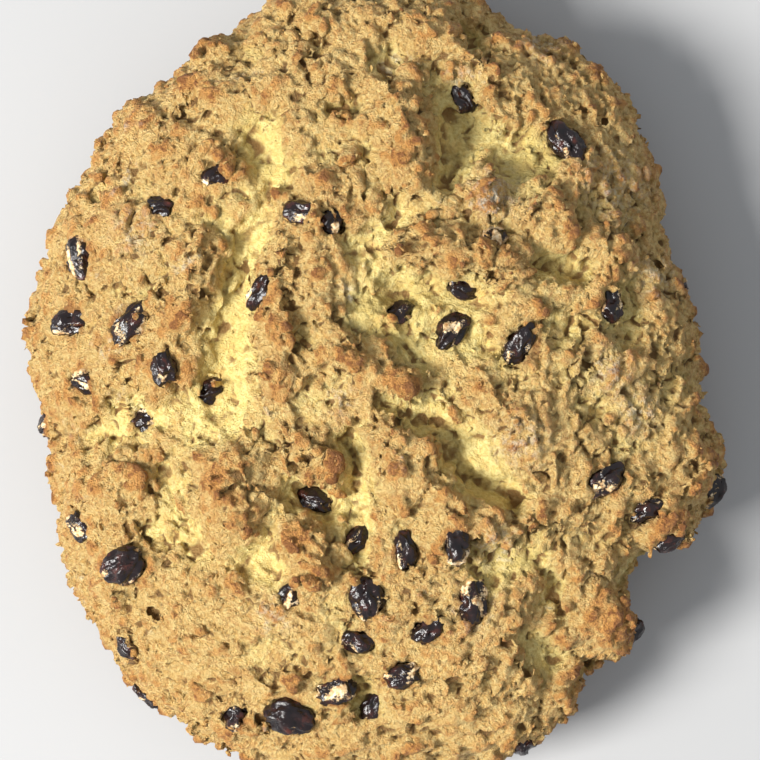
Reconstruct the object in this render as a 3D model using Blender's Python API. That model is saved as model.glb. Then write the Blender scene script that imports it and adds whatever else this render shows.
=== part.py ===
"""A rustic soda bread loaf with raisins in its crust.

The loaf is one closed solid: a domed round with a flat base, an uneven outline, the burst arms
of a baker's cross and the clods, folds and hollows of roughly torn dough. Each raisin is a solid
of its own, seated in a pocket of the crust with a thin gap round it.

Frame: metres, +Z up, origin at the middle of the bounding box on the face that the loaf rests on,
+Y along the longer side. Plan positions below are in millimetres from the loaf's axis.
"""

import math

import bmesh
import bpy
from mathutils import Euler, Matrix, Vector, noise
from mathutils.bvhtree import BVHTree

MM = 0.001
FULL_TURN = 360.0

# Driving dimensions of the loaf.
LOAF_HEIGHT = 66 * MM  # smooth dome, before its clods and furrows
WIDEST_HEIGHT = 23 * MM  # height of the widest line above the base
FOOT_INSET = 11 * MM  # how far the foot tucks in under the widest line
FOOT_EVENNESS = 0.65  # how much rounder the foot is than the widest line, from 0 to 1
DOME_POWER = 2.35  # 2 is an ellipse, more is a boxier dome
FLANK_POWER = 2.2  # roundness of the flank below the widest line

# Mesh density.
SPHERE_DETAIL = 7  # subdivisions of the starting icosphere
BASE_CUT = -0.42  # where the unit sphere is cut flat for the base
LOAF_TRIANGLES = 3260  # triangles kept in the loaf before its pockets are cut

# A stroke is level out to this share of its half width, and gone at this one.
STROKE_FLAT = 0.2
STROKE_REACH = 1.4
STROKE_STRENGTH = 1.35  # on all the heights below

# Roughness of the dough that no named feature gives: (cell size, height) of its lumps.
LUMPS = ((26 * MM, 1.9 * MM), (13 * MM, 1.3 * MM))

NOISE_SEED = 5  # noise_vector otherwise starts from the clock, and each build would differ

# Raisins.
RAISIN_GAP = 0.45 * MM  # between a raisin and its pocket
RAISIN_FLATNESS = 0.82  # thickness as a share of width
RAISIN_WRINKLE = 0.10  # depth of the wrinkles as a share of width

# The widest line, seen from above: (azimuth in degrees, radius in mm), counter-clockwise from +X.
OUTLINE = (
    (0, 96), (9, 96), (19, 94), (30, 98), (41, 106), (50, 113), (60, 114), (68, 112),
    (73, 116), (82, 119), (92, 120), (100, 119), (106, 117), (111, 112), (118, 110),
    (127, 108), (132, 110), (140, 107), (150, 106), (157, 106), (162, 103), (170, 104),
    (178, 102), (187, 99), (196, 100), (203, 102), (208, 106), (219, 110), (229, 114),
    (240, 117), (251, 118), (262, 119), (272, 119), (284, 118), (294, 118), (300, 113),
    (307, 106), (313, 108), (318, 99), (326, 96), (332, 103), (342, 106), (348, 104),
    (353, 99),
)  # fmt: skip

# Furrows (negative height) and clods or folds (positive), as strokes from one plan point to
# another: (x0, y0, x1, y1, half width, height), in mm. A round feature has both ends together.
CROSS_ARMS = (
    (-34, 66, -40, 30, 10, -5.0),  # north-west arm, between two lobes
    (-40, 30, -47, -6, 12, -6.5),
    (-47, -8, -82, -18, 12, -5.5),  # west arm, widely burst
    (-60, -12, -64, -42, 11, -4.0),
    (-64, -42, -28, -53, 9, -4.0),  # south-west arm
    (6, 94, 24, 76, 9, -4.5),  # north-east arm
    (24, 76, 26, 62, 9, -6.5),
    (26, 66, 46, 66, 8, -4.5),
    (8, 26, 28, 26, 8, -5.0),  # pocket under the long fold
    (4, 6, 30, 12, 10, -3.5),
    (3, -4, 18, -16, 5, -6.0),  # south-east arm, a deep narrow crease
    (20, -18, 40, -37, 5, -6.0),
    (16, -8, 34, -26, 9, -3.0),
    (-8, -18, -6, -50, 6, -4.5),  # south arm
)
HOLLOWS = (
    (-19, -33, -17, -35, 8, -7.5),
    (48, 34, 60, 33, 5, -5.0),
    (75, 13, 75, 27, 5, -4.0),
    (54, 16, 60, 15, 5, -3.0),
    (52, -58, 50, -65, 9, -4.5),
    (47, -77, 48, -82, 7, -4.0),
    (27, 103, 32, 101, 6, -6.0),
    (25, 83, 26, 82, 5, -4.0),
    (-9, 80, -13, 78, 5, -4.0),
    (-24, 100, -24, 100, 6, -3.0),
    (-82, 55, -82, 53, 4, -2.5),
    (-4, -88, -3, -94, 5, -5.0),
    (-57, -4, -54, -9, 5, -5.0),
    (34, -58, 66, -48, 6, -2.5),
    (64, -11, 68, -12, 7, -3.0),
    (76, -58, 84, -52, 7, -4.0),
)
CLODS = (
    (-27, 38, -27, 2, 6, 4.5),  # upright fold left of the centre
    (-17, 40, -12, 18, 8, 3.0),
    (8, 84, 9, 64, 9, 5.0),  # torn edge above the north-east arm
    (8, 38, 38, 35, 6, 5.5),  # long fold over the raisin pocket
    (31, 60, 33, 48, 5, 5.0),
    (48, 46, 49, 42, 8, 4.0),  # two round boulders
    (65, 43, 66, 40, 7, 3.5),
    (-10, 8, 8, -1, 7, 5.0),  # clod at the crossing
    (6, -14, 10, -30, 9, 3.5),
    (20, -34, 32, -44, 5, 3.5),
    (-40, -26, -42, -42, 10, 4.5),  # south-west lobe
    (-21, -44, -19, -54, 6, 5.0),
    (-22, -20, -14, -24, 6, 3.5),
    (-82, -27, -74, -32, 9, 3.5),
    (-52, 34, -54, 20, 9, 4.0),  # edge of the north-west lobe
    (-41, 66, -39, 50, 6, 3.5),
    (-60, 70, -50, 78, 14, 2.5),
    (-52, -72, -56, -70, 9, 2.5),
    (-74, 44, -66, 38, 12, 2.5),
    (40, -16, 42, -20, 11, 3.0),
    (58, 56, 62, 60, 7, 3.0),
    (22, -44, 24, -48, 6, 3.5),
    (-47, 93, -49, 91, 5, 3.5),
    (-71, -55, -74, -58, 8, 3.0),
    (10, 100, 16, 102, 9, 2.5),
    (70, -71, 71, -75, 7, 3.0),
    (84, -42, 86, -44, 7, 3.0),
    (92, -24, 93, -30, 7, 2.5),
    (-12, 56, -8, 50, 8, 2.5),
)

# Raisins on the top, each placed by where it shows: (x, y, length, width, yaw in degrees, sunk).
# The yaw turns the long side from +X, and sunk is how much of the thickness is in the dough.
TOP_RAISINS = (
    (-86.5, 36, 12.5, 9, 100, 0.55), (-89, 17, 11.5, 8.5, 10, 0.55),
    (-71, 16, 14.5, 8, 50, 0.50), (-61, 3.5, 9.5, 8, 100, 0.60),
    (-48.5, -3.5, 9.5, 7.5, 35, 0.62), (-67.5, -11.5, 8.5, 7, 20, 0.68),
    (-85.5, -0.5, 9.5, 7, 160, 0.66), (-86.5, -43, 10, 8, 150, 0.60),
    (-73, -54, 13, 10.5, 30, 0.50), (-74, -79, 8, 6, -50, 0.72),
    (-25, -98, 13.5, 10.5, -15, 0.50), (-11.5, -90, 11, 9.5, 20, 0.60),
    (-1, -95, 9, 6.5, 60, 0.68), (-24.5, -61, 8.5, 6.5, 60, 0.68),
    (-2.5, -63, 11.5, 9.5, 104, 0.52), (-5, -75.5, 8.5, 6.5, -10, 0.68),
    (-18.5, -35, 11.5, 8, -10, 0.55), (-6, -46.5, 10.5, 6.5, 42, 0.50),
    (8.5, -48.5, 10.5, 6.5, 96, 0.58), (23.5, -47, 11, 8.5, 105, 0.62),
    (28, -64, 12, 9.5, 97, 0.55), (15, -72, 10, 7.5, 50, 0.55),
    (8, -85.5, 10, 7.5, 15, 0.62), (67, -29, 11.5, 8, 40, 0.55),
    (79, -38, 10.5, 6.5, 15, 0.72), (68.5, 22, 9, 6.5, 95, 0.55),
    (55.5, 69, 13.5, 9.5, -50, 0.50), (25.5, 82.5, 9, 7.5, 120, 0.66),
    (25, 27, 9.5, 8, -30, 0.60), (22, 14.5, 12, 7.5, 48, 0.50),
    (41, 10, 14, 6.8, 57, 0.50), (-21.5, 48.5, 8.6, 7.2, -8, 0.58),
    (-12.5, 45.5, 8, 6.8, 70, 0.66), (-33, 25.5, 12, 6.5, 52, 0.55),
    (-45, 59.5, 8.5, 7, 30, 0.74), (-62.5, 50, 9, 7, 10, 0.74),
    (7, 20, 8, 6.5, 30, 0.74), (34, 41, 8.5, 7, 60, 0.72),
    (-41, -99, 9, 7, 70, 0.70), (86, -47, 9.5, 7, 20, 0.66),
)  # fmt: skip

# Raisins on the rim and the flank: (azimuth, height in mm, length, width, roll, sunk).
FLANK_RAISINS = (
    (17, 27, 10, 8, 80, 0.45), (342, 28, 10.5, 8, 30, 0.50), (315, 30, 10.5, 7.5, -35, 0.55),
    (188, 26, 9.5, 8, 80, 0.50), (234.5, 25, 10.5, 7, -20, 0.50), (52, 15, 11, 8, 10, 0.60),
    (98, 22, 11, 8, 60, 0.58), (140, 14, 10.5, 7.5, -25, 0.60), (262, 17, 11.5, 8, 15, 0.58),
    (292, 28, 10, 7, 70, 0.62),
)  # fmt: skip


def smooth_loop(azimuth, points):
    """Radius at an azimuth, on a closed smooth curve through (azimuth, radius) points."""
    azimuth %= FULL_TURN
    count = len(points)
    after = next((i for i, point in enumerate(points) if point[0] > azimuth), count)
    near = [points[(after + step) % count] for step in (-2, -1, 0, 1)]
    steps = [(near[i + 1][0] - near[i][0]) % FULL_TURN for i in range(3)]
    rises = [near[i + 1][1] - near[i][1] for i in range(3)]
    t = ((azimuth - near[1][0]) % FULL_TURN) / steps[1]
    slope_in = steps[1] * (rises[0] + rises[1]) / (steps[0] + steps[1])
    slope_out = steps[1] * (rises[1] + rises[2]) / (steps[1] + steps[2])
    bend = (t**3 - 2 * t**2 + t) * slope_in + (t**3 - t**2) * slope_out
    return near[1][1] + (3 * t**2 - 2 * t**3) * rises[1] + bend


def even_radius(azimuth):
    """Radius of the plain ellipse that the outline wanders round."""
    east = (smooth_loop(0, OUTLINE) + smooth_loop(180, OUTLINE)) / 2
    north = (smooth_loop(90, OUTLINE) + smooth_loop(270, OUTLINE)) / 2
    angle = math.radians(azimuth)
    return east * north / math.hypot(north * math.cos(angle), east * math.sin(angle))


def stroke_height(x, y, stroke):
    """Height that one stroke adds at a plan point: full on its line, falling away to its edge."""
    x0, y0, x1, y1, half_width, height = stroke
    along_x, along_y = x1 - x0, y1 - y0
    length_squared = along_x**2 + along_y**2
    share = 0.0
    if length_squared:
        share = ((x - x0) * along_x + (y - y0) * along_y) / length_squared
        share = min(1.0, max(0.0, share))
    distance = math.hypot(x - x0 - share * along_x, y - y0 - share * along_y)
    fall = (distance / half_width - STROKE_FLAT) / (STROKE_REACH - STROKE_FLAT)
    fall = min(1.0, max(0.0, fall))
    return height * (1 - fall**2 * (3 - 2 * fall))


def relief(x, y):
    """Height of furrows, hollows, clods and folds at a plan point, in metres."""
    spot = Vector((x, y, 0))
    wander = noise.noise_vector(spot / 19) * 3.5 + noise.noise_vector(spot / 8) * 1.5
    x, y = x + wander.x, y + wander.y
    strength = STROKE_STRENGTH * (1 + 0.35 * noise.noise(spot / 14))
    furrow = min(stroke_height(x, y, stroke) for stroke in CROSS_ARMS)
    hollow = min(stroke_height(x, y, stroke) for stroke in HOLLOWS)
    clod = max(stroke_height(x, y, stroke) for stroke in CLODS)
    return (min(furrow, hollow) + clod) * strength * MM


def lumps(point):
    """Rounded lumps with creases between them, in metres, at a point in space."""
    total = 0.0
    for size, height in LUMPS:
        distances = noise.voronoi(point / size)[0]
        total += height * (0.55 - distances[0]) * 1.6
    return total


def dome_point(direction):
    """Where a direction of the unit sphere lies on the smooth loaf, and its relief weight."""
    azimuth = math.degrees(math.atan2(direction.y, direction.x))
    level = math.hypot(direction.x, direction.y)
    widest, even = smooth_loop(azimuth, OUTLINE) * MM, even_radius(azimuth) * MM
    if direction.z >= 0:
        spread = level ** (2 / DOME_POWER)
        uneven = level**6
        radius = spread * (even + (widest - even) * uneven)
        height = WIDEST_HEIGHT + (LOAF_HEIGHT - WIDEST_HEIGHT) * direction.z ** (2 / DOME_POWER)
        weight = 1.0 if level < 0.93 else 1.0 - 0.5 * (level - 0.93) / 0.07
    else:
        down = min(1.0, direction.z / BASE_CUT)
        foot = even + (widest - even) * (1 - FOOT_EVENNESS)
        radius = widest + (foot - widest) * down**1.5 - FOOT_INSET * down**FLANK_POWER
        height = WIDEST_HEIGHT * (1 - down)
        weight = 0.5 * (1 - down)
    angle = math.radians(azimuth)
    place = Vector((radius * math.cos(angle), radius * math.sin(angle), height))
    return place, weight


def new_object(name, mesh, material=None):
    thing = bpy.data.objects.new(name, mesh)
    bpy.context.scene.collection.objects.link(thing)
    if material:
        mesh.materials.append(material)
    return thing


def new_material(name, colour, roughness):
    material = bpy.data.materials.new(name)
    material.use_nodes = True
    shader = material.node_tree.nodes["Principled BSDF"]
    shader.inputs["Base Color"].default_value = (*colour, 1)
    shader.inputs["Roughness"].default_value = roughness
    shader.inputs["Metallic"].default_value = 0.0
    return material


def loaf_mesh():
    """The dough as one closed mesh: a sphere cut flat below, shaped into the dome, then torn."""
    bm = bmesh.new()
    bmesh.ops.create_icosphere(bm, subdivisions=SPHERE_DETAIL, radius=1.0)
    cut = bmesh.ops.bisect_plane(
        bm,
        geom=bm.verts[:] + bm.edges[:] + bm.faces[:],
        plane_co=(0, 0, BASE_CUT),
        plane_no=(0, 0, -1),
        clear_outer=True,
    )
    rim = [item for item in cut["geom_cut"] if isinstance(item, bmesh.types.BMEdge)]
    bmesh.ops.holes_fill(bm, edges=rim)
    weights = {}
    for vert in bm.verts:
        on_sphere = vert.co.normalized() if vert.co.z > BASE_CUT + 1e-6 else None
        if on_sphere is None:
            across = math.sqrt(1 - BASE_CUT**2)
            flat = Vector((vert.co.x, vert.co.y, 0)).normalized() * across
            on_sphere = Vector((flat.x, flat.y, BASE_CUT))
        vert.co, weights[vert.index] = dome_point(on_sphere)
    bm.normal_update()
    normals = {vert.index: vert.normal.copy() for vert in bm.verts}
    for vert in bm.verts:
        weight = weights[vert.index]
        x, y = vert.co.x / MM, vert.co.y / MM
        vert.co += normals[vert.index] * weight * (relief(x, y) + lumps(vert.co))
    bmesh.ops.triangulate(bm, faces=bm.faces)
    mesh = bpy.data.meshes.new("loaf")
    bm.to_mesh(mesh)
    bm.free()
    mesh.shade_smooth()
    return mesh


def raisin_mesh(name, length, width, seed, grow=0.0):
    """A shrivelled, slightly flat raisin along X, or its pocket if grow is above nought."""
    bm = bmesh.new()
    bmesh.ops.create_uvsphere(bm, u_segments=6, v_segments=5, radius=1.0)
    bmesh.ops.rotate(bm, verts=bm.verts, matrix=Matrix.Rotation(math.pi / 2, 3, "Y"))
    half = Vector((length, width, width * RAISIN_FLATNESS)) * MM / 2
    for vert in bm.verts:
        way = vert.co.normalized()
        fold = noise.noise(way * 1.9 + Vector((seed * 7.3, seed * 3.1, 0)))
        taper = 1.0 - 0.10 * way.x * math.sin(seed * 2.4)
        size = 1.0 + 2 * RAISIN_WRINKLE * fold
        vert.co = Vector((way.x * half.x, way.y * half.y * taper, way.z * half.z * taper)) * size
    bmesh.ops.triangulate(bm, faces=bm.faces)
    bm.normal_update()
    if grow:
        moves = [(vert, vert.normal * grow) for vert in bm.verts]
        for vert, move in moves:
            vert.co += move
    mesh = bpy.data.meshes.new(name)
    bm.to_mesh(mesh)
    bm.free()
    mesh.shade_smooth()
    return mesh


def seat_on_top(surface, x, y, yaw):
    """Place and turn of something lying on the crust at a plan point."""
    above = Vector((x * MM, y * MM, 1.0))
    point, normal, _, _ = surface.ray_cast(above, Vector((0, 0, -1)))
    tilt = Vector((0, 0, 1)).rotation_difference(normal.lerp(Vector((0, 0, 1)), 0.4))
    turn = tilt.to_matrix() @ Matrix.Rotation(math.radians(yaw), 3, "Z")
    return point, turn, turn @ Vector((0, 0, 1))


def seat_on_flank(surface, azimuth, height, roll):
    """Place and turn of something lying against the loaf's side at an azimuth and height."""
    angle = math.radians(azimuth)
    outward = Vector((math.cos(angle), math.sin(angle), 0))
    start = outward + Vector((0, 0, height * MM))
    point, _, _, _ = surface.ray_cast(start, -outward)
    upright = Euler((math.pi / 2, 0, angle + math.pi / 2)).to_matrix()
    turn = upright @ Matrix.Rotation(math.radians(roll), 3, "Z")
    return point, turn, outward


def raisin_seats(surface):
    """(length, width, sunk, point, turn, outward) of every raisin."""
    for x, y, length, width, yaw, sunk in TOP_RAISINS:
        yield (length, width, sunk, *seat_on_top(surface, x, y, yaw))
    for azimuth, height, length, width, roll, sunk in FLANK_RAISINS:
        yield (length, width, sunk, *seat_on_flank(surface, azimuth, height, roll))


def add_raisins(loaf, material):
    """Every raisin as its own object, and one hidden cutter holding all their pockets."""
    graph = bpy.context.evaluated_depsgraph_get()
    surface = BVHTree.FromObject(loaf, graph)
    raisins, cutter_parts = [], bmesh.new()
    for number, seat in enumerate(raisin_seats(surface), start=1):
        length, width, sunk, point, turn, outward = seat
        name = f"raisin_{number:02d}"
        raisin = new_object(name, raisin_mesh(name, length, width, number), material)
        thickness = width * RAISIN_FLATNESS * MM
        raisin.location = point + outward * thickness * (0.5 - sunk)
        raisin.rotation_euler = turn.to_euler()
        raisins.append(raisin)
        pocket = raisin_mesh("pocket", length, width, number, grow=RAISIN_GAP)
        pocket.transform(Matrix.LocRotScale(raisin.location, turn, None))
        cutter_parts.from_mesh(pocket)
        bpy.data.meshes.remove(pocket)
    cutter_mesh = bpy.data.meshes.new("pocket_cutter")
    cutter_parts.to_mesh(cutter_mesh)
    cutter_parts.free()
    cutter = new_object("pocket_cutter", cutter_mesh)
    cutter.hide_render = True
    cutter.display_type = "WIRE"
    cut = loaf.modifiers.new("pockets", "BOOLEAN")
    cut.operation = "DIFFERENCE"
    cut.solver = "EXACT"
    cut.object = cutter
    loaf.modifiers.new("triangles", "TRIANGULATE")
    return raisins, cutter


def middle_of(things):
    """Middle of the bounding box of the evaluated objects, seen from above."""
    bpy.context.view_layer.update()
    graph = bpy.context.evaluated_depsgraph_get()
    corners = []
    for thing in things:
        shown = thing.evaluated_get(graph)
        corners += [shown.matrix_world @ vert.co for vert in shown.data.vertices]
    xs, ys = [c.x for c in corners], [c.y for c in corners]
    return Vector(((min(xs) + max(xs)) / 2, (min(ys) + max(ys)) / 2, 0))


def main():
    noise.seed_set(NOISE_SEED)
    for thing in list(bpy.data.objects):
        bpy.data.objects.remove(thing)
    crust = new_material("crust", (0.56, 0.36, 0.14), 0.85)
    raisin_skin = new_material("raisin", (0.028, 0.016, 0.018), 0.35)

    loaf = new_object("loaf", loaf_mesh(), crust)
    thin = loaf.modifiers.new("thin_out", "DECIMATE")
    thin.ratio = LOAF_TRIANGLES / len(loaf.data.polygons)
    thin.use_collapse_triangulate = True  # so that no face of the cut loaf is bent
    bpy.context.view_layer.update()
    raisins, cutter = add_raisins(loaf, raisin_skin)

    centred = bpy.data.objects.new("centred", None)
    bpy.context.scene.collection.objects.link(centred)
    centred.location = -middle_of([loaf, *raisins])
    for thing in (loaf, cutter, *raisins):
        thing.parent = centred
    bpy.context.view_layer.update()


main()
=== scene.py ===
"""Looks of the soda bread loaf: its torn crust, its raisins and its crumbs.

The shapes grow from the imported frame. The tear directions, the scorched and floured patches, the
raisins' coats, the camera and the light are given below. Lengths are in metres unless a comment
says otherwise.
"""

import math
import random

import bmesh
import bpy
import numpy as np
from mathutils import Matrix, Vector, noise
from mathutils.bvhtree import BVHTree


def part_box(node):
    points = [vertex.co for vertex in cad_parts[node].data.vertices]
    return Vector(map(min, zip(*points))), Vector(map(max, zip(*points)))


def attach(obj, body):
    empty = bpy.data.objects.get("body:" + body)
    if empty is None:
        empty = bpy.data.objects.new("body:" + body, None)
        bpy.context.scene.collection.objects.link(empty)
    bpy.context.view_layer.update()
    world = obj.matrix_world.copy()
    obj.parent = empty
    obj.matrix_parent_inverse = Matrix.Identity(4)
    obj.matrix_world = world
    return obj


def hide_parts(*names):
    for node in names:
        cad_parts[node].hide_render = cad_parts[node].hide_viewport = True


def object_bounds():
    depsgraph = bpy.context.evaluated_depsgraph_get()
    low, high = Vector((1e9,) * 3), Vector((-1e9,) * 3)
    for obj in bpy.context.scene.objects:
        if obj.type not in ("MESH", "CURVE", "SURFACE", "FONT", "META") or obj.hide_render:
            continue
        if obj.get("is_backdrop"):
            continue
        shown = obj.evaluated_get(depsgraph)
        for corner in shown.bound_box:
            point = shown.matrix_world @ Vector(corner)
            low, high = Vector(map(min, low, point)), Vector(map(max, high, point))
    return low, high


MM = 0.001

# Camera: straight down, with the crop of a close table-top picture.
CAMERA_HEIGHT = 0.95
CAMERA_SENSOR = 36.0  # mm
VIEW_WIDTH = 0.228  # metres across the picture at the loaf's widest line
VIEW_LEVEL = 0.024  # height of that line
CAMERA_PLAN = (0.9 * MM, -0.1 * MM)

# Light and floor.
WINDOW_PLACE = (-1.75, -0.55, 1.85)
WINDOW_TARGET = (0, 0, 0.03)
WINDOW_SIDE = 0.9
WINDOW_WATTS = 154
WINDOW_COLOUR = (1.0, 0.985, 0.95)
SKY_COLOUR = (0.92, 0.96, 1.0)
SKY_STRENGTH = 0.64
FLOOR_HALF = 1.6
FLOOR_SHADES = ((0.350, 0.350, 0.355), (0.370, 0.370, 0.375))

# Random draws. noise_vector otherwise starts from the clock.
NOISE_SEED = 5
DOUGH_SEED = 11
FLAKE_SEED = 23

# Crust geometry.
ENVELOPE_VOXEL = 4 * MM
ENVELOPE_ROUNDS = 40  # of smoothing
CRUST_VOXEL = 0.55 * MM
CRUST_TRIANGLES = 197_000  # the number of triangles the crust is thinned to; just under the most for one piece
NUGGETS = 6500  # torn bits of dough over the whole crust
SHREDS = 3000  # longer torn strands among them
COLLAR_BITS = 6  # bits of dough that hug each raisin
FLAKES = 5500  # thin loose flakes and crumbs, as a piece of their own
FINE_BIT = 2.6 * MM  # bits longer than this are made of more faces
BARE_LEVEL = 1.5 * MM  # below this height nothing is scattered

# Torn relief: the size of each kind, and below it how far it moves the skin, in mm.
WIDE_BEND = (6 * MM, 2.2 * MM)  # size and depth of the warps that make the relief ragged
FINE_BEND = (1.9 * MM, 0.7 * MM)
CLOD_SIZE = 8.5 * MM
LUMP_SIZE = 2.9 * MM
PATCH_SIZE = 13 * MM  # creases come and go in patches this wide
RAGGED_SIZE = 3.6 * MM
PORE_SIZE = 1.4 * MM
CLOD_RISE, CREASE_DEPTH = 1.9, 2.4
LUMP_RISE, NICK_DEPTH = 0.60, 0.7
RAGGED_RISE = 0.62
PORE_DEPTH, PORE_START = 1.8, 0.38
CALM_FOOT = 9 * MM  # the relief halves from this height down to the base

# The crust's bake map.
HEART_LEVEL = 15 * MM  # height inside the loaf from which its whole skin is in sight
PROFILE_RINGS = 40
DISC_RADIUS = 0.485
BASE_PLACE = 0.07  # across and up, in the corner beside the disc
BASE_RADIUS = 0.055

# Where torn strands run: (x mm, y mm, direction in degrees).
TEAR_DIRECTIONS = (
    (-25, 20, 95), (70, -25, 57), (88, -10, 62), (30, -35, -42), (15, -10, -45), (10, 80, 100),
    (-70, 40, 60), (0, -90, 20), (-60, -60, 155), (30, 35, 5), (45, 60, 60), (-40, -30, 130),
    (60, -75, 70), (-85, -30, 100), (70, 60, 110), (-45, 85, 35), (30, 100, 150), (-20, -75, 160),
)  # fmt: skip

# Patches seen in plan: (x mm, y mm, radius mm).
SCORCHED = (
    (-93, -15, 6), (-88, -2, 5), (-44, -30, 8), (68, -72, 9), (-74, -56, 6), (-60, 88, 7),
    (3, 4, 5), (-14, -32, 6), (-62, 20, 5), (-50, 52, 5), (-20, -48, 5), (-8, 74, 5), (62, -88, 6),
)  # fmt: skip
FLOURED = (
    (-70, 43, 6), (70, 57, 10), (41, -18, 7), (35, -48, 6), (67, 3, 6), (76, -9, 6), (28, -66, 6),
    (49, 100, 6), (34, 54, 7), (-10, -6, 4), (82, 30, 6), (-30, -68, 5),
)  # fmt: skip

# How far dried dough and flour coat each raisin, from 0 (bare and shiny) to 1. Others get 0.35.
RAISIN_COAT = {
    1: 0.55, 2: 0.40, 3: 0.42, 7: 0.40, 8: 0.80, 9: 0.25, 11: 0.15, 12: 0.70, 13: 0.30, 15: 0.45,
    17: 0.10, 18: 0.15, 19: 0.45, 20: 0.50, 21: 0.60, 22: 0.15, 23: 0.65, 24: 0.55, 25: 0.50,
    26: 0.30, 27: 0.20, 28: 0.30, 29: 0.30, 30: 0.50, 31: 0.40, 32: 0.25, 38: 0.85, 39: 0.70,
    40: 0.60,
}  # fmt: skip
USUAL_COAT = 0.35
RAISIN_SWELL = 1.19  # the plump raisin against its CAD solid, before it is folded

# Colours, as (darker, lighter) where there are two. For the crumb and the crust, the darker
# end goes where the grain bump is low: partly random tone, partly painted shade in its hollows.
CRUMB = ((0.62, 0.445, 0.120), (0.88, 0.735, 0.31))
GOLDEN_CRUMB = (0.86, 0.56, 0.17)
DAMP_CRUMB = (0.60, 0.44, 0.125)
CRUST = ((0.78, 0.45, 0.125), (1.0, 0.75, 0.315))
TOASTED = (0.72, 0.310, 0.068)
BROWN_EDGE = (0.56, 0.235, 0.055)
SCORCH = (0.28, 0.090, 0.022)
FLOUR = (0.90, 0.80, 0.62)
# Painted shade for the dough's fine hollows.
PAINTED_PIT_SHADE = (0.22, 0.105, 0.028)
# Darker brown, put in blotches close round each raisin.
RAISIN_RIM_BROWN = (0.30, 0.115, 0.030)


# ---------------------------------------------------------------- meshes


def points_of(mesh):
    """The mesh's vertices as an array of rows."""
    flat = np.empty(len(mesh.vertices) * 3, dtype=np.float64)
    mesh.vertices.foreach_get("co", flat)
    return flat.reshape(-1, 3)


def normals_of(mesh):
    flat = np.empty(len(mesh.vertices) * 3, dtype=np.float64)
    mesh.vertex_normals.foreach_get("vector", flat)
    return flat.reshape(-1, 3)


def move_points(mesh, points):
    mesh.vertices.foreach_set("co", np.ascontiguousarray(points, dtype=np.float64).ravel())
    mesh.update()


def edges_of(mesh):
    flat = np.empty(len(mesh.edges) * 2, dtype=np.int64)
    mesh.edges.foreach_get("vertices", flat)
    return flat.reshape(-1, 2)


def averaged(values, edges, rounds):
    """Rows of values, each replaced by the mean of its neighbours and itself, many times over."""
    count = len(values)
    degree = np.bincount(edges.ravel(), minlength=count) + 1.0
    a, b = edges[:, 0], edges[:, 1]
    for _ in range(rounds):
        total = values.copy()
        for column in range(values.shape[1]):
            total[:, column] += np.bincount(a, weights=values[b, column], minlength=count)
            total[:, column] += np.bincount(b, weights=values[a, column], minlength=count)
        values = total / degree[:, None]
    return values


def linked(name, mesh):
    thing = bpy.data.objects.new(name, mesh)
    bpy.context.scene.collection.objects.link(thing)
    return thing


def applied(thing):
    """The object's mesh with its modifiers applied, and the modifiers gone."""
    graph = bpy.context.evaluated_depsgraph_get()
    graph.update()
    mesh = bpy.data.meshes.new_from_object(thing.evaluated_get(graph), depsgraph=graph)
    thing.modifiers.clear()
    thing.data = mesh
    return mesh


def remeshed(thing, voxel):
    step = thing.modifiers.new("voxels", "REMESH")
    step.mode = "VOXEL"
    step.voxel_size = voxel
    return applied(thing)


def drop_scraps(mesh):
    """Keeps only the largest joined part, without loose scraps and closed bubbles."""
    edges = edges_of(mesh)
    part = np.arange(len(mesh.vertices))
    while True:
        lowest = np.minimum(part[edges[:, 0]], part[edges[:, 1]])
        joined = part.copy()
        np.minimum.at(joined, edges[:, 0], lowest)
        np.minimum.at(joined, edges[:, 1], lowest)
        joined = joined[joined]
        if np.array_equal(joined, part):
            break
        part = joined
    scraps = part != np.bincount(part).argmax()
    bm = bmesh.new()
    bm.from_mesh(mesh)
    away = [vert for vert, scrap in zip(bm.verts, scraps) if scrap]
    bmesh.ops.delete(bm, geom=away, context="VERTS")
    bm.to_mesh(mesh)
    bm.free()


def set_attribute(mesh, name, values):
    layer = mesh.attributes.new(name, "FLOAT", "POINT")
    layer.data.foreach_set("value", np.ascontiguousarray(values, dtype=np.float32))


def tree_of(mesh):
    corners = [vert.co for vert in mesh.vertices]
    return BVHTree.FromPolygons(corners, [face.vertices for face in mesh.polygons])


def height_over(points, tree):
    """Signed height of each point over a surface, positive outside."""
    heights = np.empty(len(points))
    for i, point in enumerate(points):
        place = Vector(point)
        near, normal, _, _ = tree.find_nearest(place)
        heights[i] = (place - near).dot(normal)
    return heights


# ---------------------------------------------------------------- dough


def tear_direction(x, y):
    """Which way torn strands run at a plan point, as an angle in radians."""
    across, along = 0.0, 0.0
    for px, py, degrees in TEAR_DIRECTIONS:
        weight = 1.0 / ((x / MM - px) ** 2 + (y / MM - py) ** 2 + 60.0)
        along += weight * math.cos(2 * math.radians(degrees))
        across += weight * math.sin(2 * math.radians(degrees))
    return 0.5 * math.atan2(across, along)


def surface_points(mesh, count, rng):
    """Points spread evenly over a mesh, each with the face's normal."""
    faces = [face for face in mesh.polygons if face.center.z > BARE_LEVEL]
    totals = np.cumsum([face.area for face in faces])
    for _ in range(count):
        face = faces[int(np.searchsorted(totals, rng.random() * totals[-1]))]
        corners = [mesh.vertices[i].co for i in face.vertices]
        a, b = rng.random(), rng.random()
        if a + b > 1:
            a, b = 1 - a, 1 - b
        point = corners[0] + (corners[1] - corners[0]) * a + (corners[2] - corners[0]) * b
        yield point, face.normal


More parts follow.
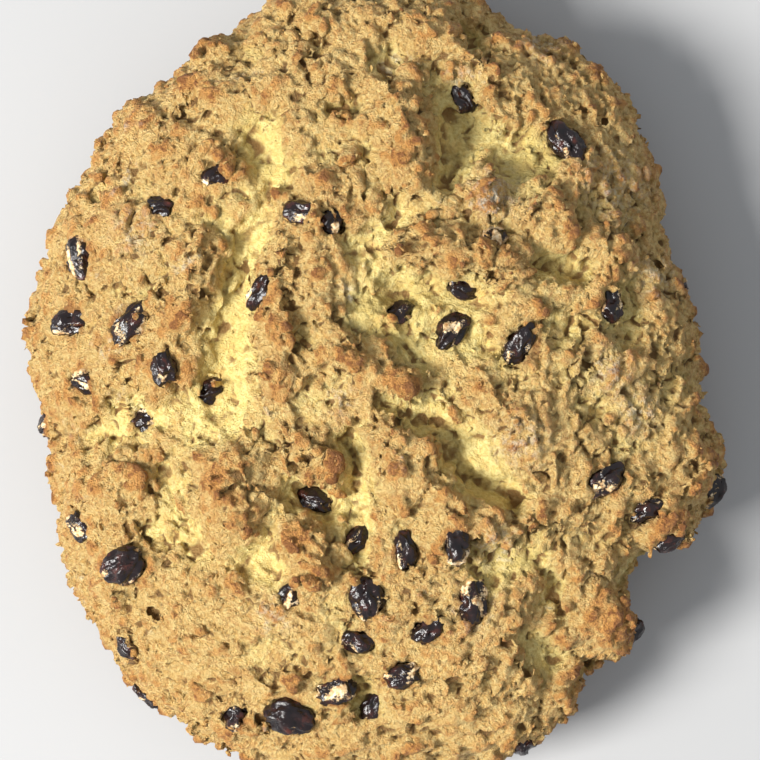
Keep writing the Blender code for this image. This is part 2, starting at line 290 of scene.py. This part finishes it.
def bit_frame(normal, angle, lean, rng):
    """A turn whose X runs along an angle over the surface and whose Z is about its normal."""
    heading = Vector((math.cos(angle), math.sin(angle), 0))
    if abs(normal.z) < 0.5:
        heading = Vector((0, 0, 1)).lerp(heading, rng.uniform(-0.6, 0.6))
    side = normal.cross(heading).normalized()
    ahead = side.cross(normal).normalized()
    turn = Matrix((ahead, side, normal)).transposed()
    sway = Matrix.Rotation(rng.gauss(0, lean), 3, "Y") @ Matrix.Rotation(rng.gauss(0, lean), 3, "X")
    return turn @ sway


class Bits:
    """Many small uneven lumps, gathered as arrays and joined into one mesh."""

    def __init__(self):
        self.shapes = {}
        for detail in (1, 2):
            bm = bmesh.new()
            bmesh.ops.create_icosphere(bm, subdivisions=detail, radius=0.5)
            corners = np.array([vert.co[:] for vert in bm.verts])
            faces = np.array([[vert.index for vert in face.verts] for face in bm.faces])
            self.shapes[detail] = (corners, faces)
            bm.free()
        self.corners, self.faces, self.count = [], [], 0

    def add(self, place, turn, size, rng):
        """One torn bit stretched to size (length, width, thickness)."""
        corners, faces = self.shapes[2 if size[0] > FINE_BIT else 1]
        swell = np.array([0.65 + 0.7 * rng.random() for _ in range(len(corners))])
        shape = corners * swell[:, None] * np.array(size)
        self.corners.append(shape @ np.array(turn).T + np.array(place))
        self.faces.append(faces + self.count)
        self.count += len(corners)

    def joined(self, name, *more):
        """One mesh of every bit, and of any other mesh of triangles."""
        corners, faces, count = list(self.corners), list(self.faces), self.count
        for mesh in more:
            corners.append(points_of(mesh))
            flat = np.empty(len(mesh.loops), dtype=np.int64)
            mesh.loops.foreach_get("vertex_index", flat)
            faces.append(flat.reshape(-1, 3) + count)
            count += len(mesh.vertices)
        made = bpy.data.meshes.new(name)
        made.from_pydata(np.concatenate(corners), [], np.concatenate(faces))
        made.validate()
        return made


def raisin_spots():
    """Centre and half length of every raisin."""
    spots = {}
    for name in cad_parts:
        if name.startswith("raisin_"):
            low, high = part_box(name)
            spots[name] = ((low + high) / 2, max(high - low) / 2)
    return spots


def crumb_share(point, envelope):
    """1 in the smoother crumb at the bottom of a crack, 0 on the crust."""
    near, normal, _, _ = envelope.find_nearest(point)
    depth = (near - point).dot(normal) / MM
    return min(1.0, max(0.0, (depth - 0.3) / 2.5))


def too_near(point, spots, share):
    """True within a share of any raisin's half length from its centre."""
    return any((point - centre).length < reach * share for centre, reach in spots.values())


def scatter_nuggets(bits, skin, spots, envelope, rng):
    """Torn bits of dough over the crust, fewer in the crumb."""
    for point, normal in surface_points(skin, NUGGETS, rng):
        if too_near(point, spots, 1.1):
            continue
        if rng.random() < 0.7 * crumb_share(point, envelope):
            continue
        length = min(1.6 + rng.expovariate(0.65), 8.0) * MM
        size = (length, length * rng.uniform(0.3, 0.8), length * rng.uniform(0.25, 0.6))
        angle = tear_direction(point.x, point.y) + rng.gauss(0, 0.5)
        turn = bit_frame(normal, angle, 0.42, rng)
        bits.add(point + normal * size[2] * rng.uniform(-0.25, 0.3), turn, size, rng)


def scatter_shreds(bits, skin, spots, envelope, rng):
    """Longer strands that run the way the dough was torn."""
    for point, normal in surface_points(skin, SHREDS, rng):
        if too_near(point, spots, 0.9):
            continue
        if rng.random() < 0.5 * crumb_share(point, envelope):
            continue
        length = rng.uniform(4, 14) * MM
        size = (length, rng.uniform(0.9, 2.4) * MM, rng.uniform(1.0, 2.6) * MM)
        angle = tear_direction(point.x, point.y) + rng.gauss(0, 0.25)
        turn = bit_frame(normal, angle, 0.14, rng)
        bits.add(point + normal * size[2] * rng.uniform(0.0, 0.4), turn, size, rng)


def scatter_collars(bits, skin, spots, rng):
    """Bits of dough that hug each raisin, and more of them on the coated ones."""
    tree = tree_of(skin)
    for name, (centre, reach) in sorted(spots.items()):
        coat = RAISIN_COAT.get(int(name[-2:]), USUAL_COAT)
        for bit in range(COLLAR_BITS + round(5 * coat)):
            angle = rng.uniform(0, 2 * math.pi)
            out = reach * (rng.uniform(0.95, 1.3) if bit < COLLAR_BITS else rng.uniform(0.5, 0.9))
            _, normal, _, _ = tree.find_nearest(centre)
            turn = bit_frame(normal, angle + math.pi / 2, 0.3, rng)
            place, normal, _, _ = tree.find_nearest(centre + turn @ Vector((0, out, 0)))
            size = Vector((rng.uniform(3, 6), rng.uniform(1.3, 2.5), rng.uniform(1.3, 2.3))) * MM
            bits.add(place + normal * size.z * rng.uniform(-0.1, 0.25), turn, size, rng)


def clod_field(point, size):
    """Blocky clods: each has its own height, from about -0.5 to 0.5, with a step and a crease
    between it and the next. Returns the height and how deep in a crease the point is."""
    distances, centres = noise.voronoi(point / size)
    own, other = (noise.noise(centre * 7.3) for centre in centres[:2])
    apart = distances[1] - distances[0]
    share = 0.5 + 0.5 * min(1.0, apart / 0.22)
    dome = 0.35 - 0.55 * distances[0]
    return own * share + other * (1 - share) + dome, math.exp(-apart / 0.09)


def roughen(mesh, envelope):
    """Moves the dough's points in and out: clods, creases, ragged ridges and pores."""
    points, normals = points_of(mesh), normals_of(mesh)
    moves = np.zeros(len(points))
    for i, row in enumerate(points):
        if row[2] < 0.4 * MM and normals[i][2] < -0.8:
            continue
        point = Vector(row)
        bent = point
        for size, depth in (WIDE_BEND, FINE_BEND):
            bent = bent + noise.noise_vector(point / size) * depth
        clod, crease = clod_field(bent, CLOD_SIZE)
        lump, nick = clod_field(bent, LUMP_SIZE)
        where = noise.noise(point / PATCH_SIZE)
        ragged = noise.ridged_multi_fractal(bent / RAGGED_SIZE, 0.7, 2.2, 3, 1.0, 2.0) - 1.0
        pore = noise.noise(bent / PORE_SIZE + Vector((31, 7, 3)))
        move = CLOD_RISE * clod - CREASE_DEPTH * crease * max(0.0, 0.25 + where)
        move += LUMP_RISE * lump - NICK_DEPTH * nick * (0.4 + where) + RAGGED_RISE * ragged
        move -= PORE_DEPTH * max(0.0, pore - PORE_START)
        low = 0.5 + 0.5 * min(1.0, max(0.0, row[2] / CALM_FOOT))
        moves[i] = move * MM * low * (1.12 - 0.60 * crumb_share(point, envelope))
    move_points(mesh, points + normals * moves[:, None])


def sculpt_loaf(envelope):
    """The dough as one mesh that replaces the CAD loaf."""
    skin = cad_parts["loaf"].data
    bits, spots, rng = Bits(), raisin_spots(), random.Random(DOUGH_SEED)
    scatter_nuggets(bits, skin, spots, envelope, rng)
    scatter_shreds(bits, skin, spots, envelope, rng)
    scatter_collars(bits, skin, spots, rng)
    loaf = linked("crust", bits.joined("crust", skin))
    mesh = remeshed(loaf, CRUST_VOXEL)
    drop_scraps(mesh)
    move_points(mesh, averaged(points_of(mesh), edges_of(mesh), 1))
    roughen(mesh, envelope)
    points = points_of(mesh)
    points[:, 2] = np.maximum(points[:, 2], 0.0)
    move_points(mesh, points)
    thin = loaf.modifiers.new("thin", "DECIMATE")
    thin.ratio = CRUST_TRIANGLES / sum(len(face.vertices) - 2 for face in mesh.polygons)
    thin.use_collapse_triangulate = True
    mesh = applied(loaf)
    mesh.shade_smooth()
    return loaf


def lay_out(mesh):
    """A map offered for baking the crust's colours: one disc from the crown down to the foot, spaced
    by the arc length of the mean profile, and a small disc for the flat base.

    Known fault: a ring with no point near it has no mean, and that leaves almost the whole disc
    undefined. As it stands the map can't be used."""
    points = points_of(mesh)
    rise = points[:, 2] - HEART_LEVEL
    plan = np.hypot(points[:, 0], points[:, 1])
    reach = np.hypot(plan, rise)
    slope = np.arctan2(plan, rise)
    rings = np.linspace(0.0, slope.max(), PROFILE_RINGS)
    profile = np.array([reach[np.abs(slope - ring) < 0.04].mean() for ring in rings])
    steps = np.hypot(np.diff(profile), profile[1:] * np.diff(rings))
    along = np.concatenate(([0.0], np.cumsum(steps)))
    spread = np.interp(slope, rings, along / along[-1]) * DISC_RADIUS
    ways = points[:, :2] / np.maximum(plan, 1e-9)[:, None]
    disc = 0.5 + ways * spread[:, None]
    base = BASE_PLACE + points[:, :2] / plan.max() * BASE_RADIUS
    flat = np.array([face.center.z < 0.5 * MM and face.normal.z < -0.7 for face in mesh.polygons])
    sizes = np.array([face.loop_total for face in mesh.polygons])
    corners = np.empty(len(mesh.loops), dtype=np.int64)
    mesh.loops.foreach_get("vertex_index", corners)
    places = np.where(np.repeat(flat, sizes)[:, None], base[corners], disc[corners])
    layer = mesh.uv_layers.new(name="OFBake")
    layer.uv.foreach_set("vector", np.ascontiguousarray(places, dtype=np.float32).ravel())


def loose_flakes(crust, envelope):
    """Thin flakes and crumbs that stand on the crust, fewer in the crumb and on raisins."""
    bits, spots, rng = Bits(), raisin_spots(), random.Random(FLAKE_SEED)
    for point, normal in surface_points(crust, FLAKES, rng):
        if too_near(point, spots, 0.8) and rng.random() < 0.8:
            continue
        if rng.random() < 0.75 * crumb_share(point, envelope):
            continue
        length = min(0.6 + rng.expovariate(1.7), 2.6) * MM
        size = (length, length * rng.uniform(0.5, 1.0), length * rng.uniform(0.2, 0.6))
        turn = bit_frame(normal, rng.uniform(0, math.pi), 0.9, rng)
        bits.add(point + normal * size[2] * rng.uniform(-0.15, 0.25), turn, size, rng)
    return linked("flakes", bits.joined("flakes"))


def smooth_envelope():
    """The loaf's form without its detail, as a search tree."""
    source = linked("envelope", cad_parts["loaf"].data.copy())
    mesh = remeshed(source, ENVELOPE_VOXEL)
    move_points(mesh, averaged(points_of(mesh), edges_of(mesh), ENVELOPE_ROUNDS))
    tree = tree_of(mesh)
    bpy.data.objects.remove(source)
    return tree


def paint_patches(mesh):
    """Marks where the dough is scorched and where it is dusted with flour."""
    plan = points_of(mesh)[:, :2] / MM
    for name, patches in (("scorched", SCORCHED), ("floured", FLOURED)):
        share = np.zeros(len(plan))
        for x, y, radius in patches:
            gap = np.hypot(plan[:, 0] - x, plan[:, 1] - y) / radius
            share += np.exp(-gap * gap)
        set_attribute(mesh, name, share)


def paint_guides(mesh, envelope):
    """Stores in mm how far the crust stands out at three scales, and how near a raisin is."""
    points, edges = points_of(mesh), edges_of(mesh)
    normals = normals_of(mesh)
    fine = averaged(points, edges, 6)
    middle = averaged(fine, edges, 30)
    set_attribute(mesh, "fine", np.einsum("ij,ij->i", points - fine, normals) / MM)
    set_attribute(mesh, "proud", np.einsum("ij,ij->i", fine - middle, normals) / MM)
    set_attribute(mesh, "broad", height_over(points, envelope) / MM)
    near = np.full(len(points), 9.0)
    for centre, reach in raisin_spots().values():
        gap = (np.linalg.norm(points - np.array(centre), axis=1) - reach) / MM
        near = np.minimum(near, gap)
    set_attribute(mesh, "raisin_gap", near)


# ---------------------------------------------------------------- materials


class Graph:
    """Short words for building a node tree."""

    def __init__(self, name):
        self.material = bpy.data.materials.new(name)
        self.material.use_nodes = True
        self.tree = self.material.node_tree
        self.shader = self.tree.nodes["Principled BSDF"]
        self.place = self.node("ShaderNodeTexCoord").outputs["Object"]

    def node(self, kind, **settings):
        made = self.tree.nodes.new(kind)
        for key, value in settings.items():
            setattr(made, key, value)
        return made

    def join(self, source, socket):
        if hasattr(source, "is_output"):
            self.tree.links.new(source, socket)
        else:
            socket.default_value = source

    def height(self):
        """Height above the loaf's base."""
        made = self.node("ShaderNodeSeparateXYZ")
        self.join(self.place, made.inputs[0])
        return made.outputs["Z"]

    def guide(self, name):
        return self.node("ShaderNodeAttribute", attribute_name=name).outputs["Fac"]

    def math(self, operation, a, b=0.0, clamp=False):
        made = self.node("ShaderNodeMath", operation=operation, use_clamp=clamp)
        self.join(a, made.inputs[0])
        self.join(b, made.inputs[1])
        return made.outputs[0]

    def scaled(self, value, factor):
        return self.math("MULTIPLY", value, factor)

    def add(self, first, *others):
        for other in others:
            first = self.math("ADD", first, other)
        return first

    def ramp(self, value, low, high):
        made = self.node("ShaderNodeMapRange", interpolation_type="SMOOTHSTEP")
        self.join(value, made.inputs["Value"])
        made.inputs["From Min"].default_value = min(low, high)
        made.inputs["From Max"].default_value = max(low, high)
        made.inputs["To Min"].default_value = float(low > high)
        made.inputs["To Max"].default_value = float(low < high)
        return made.outputs["Result"]

    def noise(self, size, detail=4.0, rough=0.55, warp=0.0):
        made = self.node("ShaderNodeTexNoise", noise_type="FBM")
        self.join(self.place, made.inputs["Vector"])
        made.inputs["Scale"].default_value = 1.0 / size
        made.inputs["Detail"].default_value = detail
        made.inputs["Roughness"].default_value = rough
        made.inputs["Distortion"].default_value = warp
        return made.outputs["Fac"]

    def cells(self, size, warp):
        """Distance to the nearest of scattered points, with ragged edges between their cells."""
        stray = self.node("ShaderNodeTexNoise")
        self.join(self.place, stray.inputs["Vector"])
        stray.inputs["Scale"].default_value = 1.0 / size
        moved = self.node("ShaderNodeVectorMath", operation="MULTIPLY_ADD")
        self.join(stray.outputs["Color"], moved.inputs[0])
        moved.inputs[1].default_value = (warp, warp, warp)
        self.join(self.place, moved.inputs[2])
        made = self.node("ShaderNodeTexVoronoi")
        self.join(moved.outputs["Vector"], made.inputs["Vector"])
        made.inputs["Scale"].default_value = 1.0 / size
        return made.outputs["Distance"]

    def colours(self, value, *stops):
        made = self.node("ShaderNodeValToRGB")
        self.join(value, made.inputs["Fac"])
        line = made.color_ramp.elements
        while len(line) < len(stops):
            line.new(0.5)
        for element, (place, colour) in zip(line, stops):
            element.position = place
            element.color = (*colour, 1)
        return made.outputs["Color"]

    def centred(self, size, detail, rough, warp=0.0):
        """Noise that is as often below nought as above it."""
        return self.math("SUBTRACT", self.noise(size, detail, rough, warp), 0.5)

    def mix(self, share, a, b):
        made = self.node("ShaderNodeMix", data_type="RGBA")
        self.join(share, made.inputs[0])
        for source, socket in ((a, made.inputs[6]), (b, made.inputs[7])):
            self.join((*source, 1) if isinstance(source, tuple) else source, socket)
        return made.outputs[2]

    def bump(self, height, distance, strength=1.0):
        made = self.node("ShaderNodeBump")
        self.join(height, made.inputs["Height"])
        made.inputs["Distance"].default_value = distance
        made.inputs["Strength"].default_value = strength
        self.join(made.outputs["Normal"], self.shader.inputs["Normal"])

    def out(self, name, value):
        self.join(value, self.shader.inputs[name])


def browned(g, colour, baked, grain, toast):
    """Toasted tips, thin brown edges where the skin has torn and curled, and scorched spots."""
    colour = g.mix(g.scaled(g.ramp(toast, 0.30, 0.90), 0.85), colour, TOASTED)
    edge = g.math("ABSOLUTE", g.centred(6 * MM, 4, 0.6, 0.5))
    edge = g.math("MULTIPLY", g.ramp(edge, 0.030, 0.004), g.ramp(g.add(baked, grain), 0.55, 0.95))
    colour = g.mix(g.scaled(edge, 0.55), colour, BROWN_EDGE)
    scorch = g.add(g.scaled(toast, 0.45), g.noise(2.6 * MM, 4, 0.65))
    return g.mix(g.scaled(g.ramp(scorch, 0.84, 1.10), 0.80), colour, SCORCH)


def dusted(g, colour):
    """Pale flour, in its own patches and a few others."""
    dust = g.add(g.ramp(g.noise(21 * MM, 4, 0.6, 0.4), 0.63, 0.72), g.guide("floured"))
    dust = g.math("MULTIPLY", dust, g.ramp(g.noise(2.2 * MM, 4, 0.65), 0.44, 0.66))
    return g.mix(g.math("MULTIPLY", dust, 0.62, True), colour, FLOUR)


def paint_pit_shade_and_raisin_rims(g, colour, fine, grain, blotch):
    """Painted shade in the dough's fine hollows and where the grain bump is low, and darker
    brown blotches close round the raisins.
    """
    # Painted shade: darker the deeper a point lies in a fine hollow, and where the grain bump is low.
    pit_shade = g.add(g.scaled(g.ramp(fine, -0.38, -1.10), 0.90), g.scaled(grain, -0.35))
    colour = g.mix(g.math("MULTIPLY", pit_shade, 1.0, True), colour, PAINTED_PIT_SHADE)
    # Darker brown blotches close round each raisin.
    raisin_rim = g.math("MULTIPLY", g.ramp(g.guide("raisin_gap"), 1.0, -1.0), g.ramp(blotch, -0.2, 0.1))
    return g.mix(g.scaled(raisin_rim, 0.6), colour, RAISIN_RIM_BROWN)


def crust_material(flakes=False):
    """Baked dough. Loose flakes have no guides for fine relief, and are toasted evenly instead."""
    g = Graph("crust_flakes" if flakes else "baked_crust")
    broad = g.guide("broad")
    patch = g.centred(34 * MM, 3, 0.6)
    blotch = g.centred(7 * MM, 5, 0.62, 0.3)
    crumbly = g.centred(3 * MM, 4, 0.68, 0.3)
    grain = g.centred(1.3 * MM, 5, 0.7)
    low = g.ramp(g.height(), 26 * MM, 3 * MM)
    # Crumb in the cracks of the cross, crust elsewhere.
    baked = g.add(g.scaled(broad, 0.20), g.scaled(patch, 1.6), g.scaled(blotch, 1.5), low, 0.50)
    baked = g.ramp(baked, 0.0, 1.0)
    # Darker where the grain bump is low: partly random tone, partly painted shade in its hollows.
    crumb = g.mix(g.ramp(grain, -0.2, 0.2), *CRUMB)
    crumb = g.mix(g.scaled(g.ramp(blotch, -0.02, 0.12), 0.45), crumb, GOLDEN_CRUMB)
    crumb = g.mix(g.scaled(g.ramp(patch, -0.02, -0.14), 0.5), crumb, DAMP_CRUMB)
    # The crust too is darker where the grain bump is low: partly random tone, partly painted shade.
    colour = g.mix(baked, crumb, g.mix(g.ramp(grain, -0.2, 0.2), *CRUST))
    toast = g.add(g.scaled(broad, 0.03), g.scaled(blotch, 1.5), g.scaled(crumbly, 1.5))
    toast = g.add(toast, g.scaled(grain, 0.9), 0.02)
    toast = g.add(toast, g.scaled(low, 0.35), g.scaled(g.guide("scorched"), 0.34))
    if flakes:
        colour = dusted(g, browned(g, colour, baked, grain, g.add(toast, 0.22)))
    else:
        fine = g.guide("fine")
        toast = g.add(toast, g.scaled(fine, 0.28), g.scaled(g.guide("proud"), 0.32))
        colour = dusted(g, browned(g, colour, baked, grain, toast))
        colour = paint_pit_shade_and_raisin_rims(g, colour, fine, grain, blotch)
    g.out("Base Color", colour)
    g.shader.inputs["Roughness"].default_value = 0.62
    g.shader.inputs["Specular IOR Level"].default_value = 0.45
    crackle = g.cells(1.25 * MM, warp=0.5 * MM)
    height = g.add(g.scaled(grain, 2.9), g.scaled(crackle, 0.35), g.noise(0.5 * MM, 3, 0.65))
    height = g.math("MULTIPLY", height, g.add(g.scaled(baked, 0.6), 0.4))
    g.bump(height, 1.5 * MM)
    return g.material


def raisin_material():
    """Near-black shiny skin, under dried dough where the coat guide is high."""
    g = Graph("dried_fruit")
    skin = g.colours(
        g.noise(3.5 * MM, 4, 0.6),
        (0.35, (0.005, 0.003, 0.004)),
        (0.55, (0.013, 0.006, 0.006)),
        (0.72, (0.065, 0.016, 0.010)),
    )
    dough = g.colours(
        g.noise(1.4 * MM, 4, 0.6),
        (0.35, (0.34, 0.17, 0.06)),
        (0.52, (0.66, 0.47, 0.25)),
        (0.70, (0.84, 0.72, 0.52)),
    )
    ragged = g.scaled(g.centred(0.8 * MM, 4, 0.7), 0.9)
    cover = g.ramp(g.add(g.guide("coat"), ragged), 0.42, 0.54)
    g.out("Base Color", g.mix(cover, skin, dough))
    g.out("Roughness", g.add(g.scaled(cover, 0.5), 0.14))
    g.shader.inputs["Specular IOR Level"].default_value = 0.42
    g.bump(g.add(g.noise(0.9 * MM, 3, 0.6), g.scaled(cover, 0.5)), 0.3 * MM, 0.8)
    return g.material


def floor_material():
    g = Graph("pale_floor")
    shade = g.colours(g.noise(0.25, 2), (0.3, FLOOR_SHADES[0]), (0.7, FLOOR_SHADES[1]))
    g.out("Base Color", shade)
    g.shader.inputs["Roughness"].default_value = 0.7
    return g.material


# ---------------------------------------------------------------- raisins


def main_axes(around):
    """A cloud's own axes as rows, longest first, each turned so that its largest part is positive."""
    _, columns = np.linalg.eigh(around.T @ around)
    axes = columns.T[::-1]
    largest = axes[np.arange(3), np.abs(axes).argmax(axis=1)]
    return axes * np.sign(largest)[:, None]


def plump_form(name):
    """A raisin's CAD solid as one joined, rounded mesh."""
    bm = bmesh.new()
    bm.from_mesh(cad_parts[name].data)
    bmesh.ops.remove_doubles(bm, verts=bm.verts, dist=0.001 * MM)
    shape = bpy.data.meshes.new(name)
    bm.to_mesh(shape)
    bm.free()
    piece = linked(name.replace("raisin", "fruit"), shape)
    round_off = piece.modifiers.new("round", "SUBSURF")
    round_off.levels = round_off.render_levels = 3
    applied(piece)
    return piece


def wrinkle(local, number):
    """Folds and dents a raisin's points, and says how far dried dough coats each of them."""
    ways = local / np.linalg.norm(local, axis=1)[:, None]
    plump = ways / np.linalg.norm(ways / np.abs(local).max(axis=0), axis=1)[:, None]
    local = 0.5 * (local + plump)
    level = RAISIN_COAT.get(number, USUAL_COAT)
    coat = np.zeros(len(local))
    drift = Vector((number * 3.7, number * 1.9, number * 5.3))
    for i, row in enumerate(local):
        spot = Vector(row)
        bent = spot + noise.noise_vector(spot / (4 * MM) + drift) * (1.3 * MM)
        along = Vector((bent.x * 0.38, bent.y, bent.z))
        fold = 1 - abs(noise.noise(along / (2.9 * MM) - drift)) * 2.4
        ridge = 1 - abs(noise.noise(along / (1.5 * MM) + drift)) * 2.4
        dent = noise.noise(spot / (5.0 * MM) + drift)
        move = 0.95 * fold + 0.42 * ridge + 0.8 * dent - 0.65
        local[i] += ways[i] * (move * MM)
        patch = noise.noise(along / (3.0 * MM) + drift * 1.7)
        speck = noise.noise(along / (1.2 * MM) - drift * 1.3)
        coat[i] = 0.62 * patch + 0.22 * speck + 0.52 * level
    return local, coat


def wrinkled_raisin(name, material):
    """A shrivelled raisin grown from its CAD solid."""
    piece = plump_form(name)
    mesh = piece.data
    points = points_of(mesh)
    centre = points.mean(axis=0)
    around = points - centre
    axes = main_axes(around)
    local, coat = wrinkle(around @ axes.T * RAISIN_SWELL, int(name[-2:]))
    move_points(mesh, centre + local @ axes)
    mesh.shade_smooth()
    set_attribute(mesh, "coat", coat)
    mesh.materials.clear()
    mesh.materials.append(material)
    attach(piece, "root")
    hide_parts(name)


# ---------------------------------------------------------------- light, floor and camera


def add_window():
    """One broad soft light from the left and above."""
    data = bpy.data.lights.new("window", "AREA")
    data.shape = "RECTANGLE"
    data.size = data.size_y = WINDOW_SIDE
    data.energy = WINDOW_WATTS
    data.color = WINDOW_COLOUR
    light = linked("window", data)
    light.location = WINDOW_PLACE
    aim = Vector(WINDOW_TARGET) - Vector(WINDOW_PLACE)
    light.rotation_euler = aim.to_track_quat("-Z", "Y").to_euler()


def set_sky():
    world = bpy.data.worlds.new("studio")
    world.use_nodes = True
    sky = world.node_tree.nodes["Background"]
    sky.inputs["Color"].default_value = (*SKY_COLOUR, 1)
    sky.inputs["Strength"].default_value = SKY_STRENGTH
    bpy.context.scene.world = world
    bpy.context.scene.view_settings.view_transform = "Standard"
    bpy.context.scene.view_settings.look = "None"


def set_floor():
    bm = bmesh.new()
    bmesh.ops.create_grid(bm, x_segments=8, y_segments=8, size=FLOOR_HALF)
    mesh = bpy.data.meshes.new("floor")
    bm.to_mesh(mesh)
    bm.free()
    floor = linked("floor", mesh)
    mesh.materials.append(floor_material())
    floor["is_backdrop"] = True


def set_camera():
    data = bpy.data.cameras.new("overhead")
    data.sensor_width = CAMERA_SENSOR
    data.lens = CAMERA_SENSOR * (CAMERA_HEIGHT - VIEW_LEVEL) / VIEW_WIDTH
    camera = linked("overhead", data)
    camera.location = (*CAMERA_PLAN, CAMERA_HEIGHT)
    bpy.context.scene.camera = camera


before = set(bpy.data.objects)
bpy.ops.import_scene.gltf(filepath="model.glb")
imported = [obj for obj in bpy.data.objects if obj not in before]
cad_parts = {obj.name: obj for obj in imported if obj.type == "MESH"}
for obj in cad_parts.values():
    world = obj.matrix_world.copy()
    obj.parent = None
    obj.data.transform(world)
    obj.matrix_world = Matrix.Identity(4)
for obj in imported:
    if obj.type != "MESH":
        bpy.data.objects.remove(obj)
cad_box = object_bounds()
noise.seed_set(NOISE_SEED)

envelope = smooth_envelope()
crust = sculpt_loaf(envelope)
lay_out(crust.data)
paint_guides(crust.data, envelope)
flakes = loose_flakes(crust.data, envelope)
set_attribute(flakes.data, "broad", height_over(points_of(flakes.data), envelope) / MM)
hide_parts("loaf")
for piece in (crust, flakes):
    paint_patches(piece.data)
    piece.data.materials.clear()
    piece.data.materials.append(crust_material(flakes=piece is flakes))
    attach(piece, "root")

fruit = raisin_material()
for raisin in sorted(raisin_spots()):
    wrinkled_raisin(raisin, fruit)

set_floor()
set_sky()
add_window()
set_camera()
boxes = {"cad": cad_box, "visual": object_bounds()}
{key: [list(corner) for corner in box] for key, box in boxes.items()}
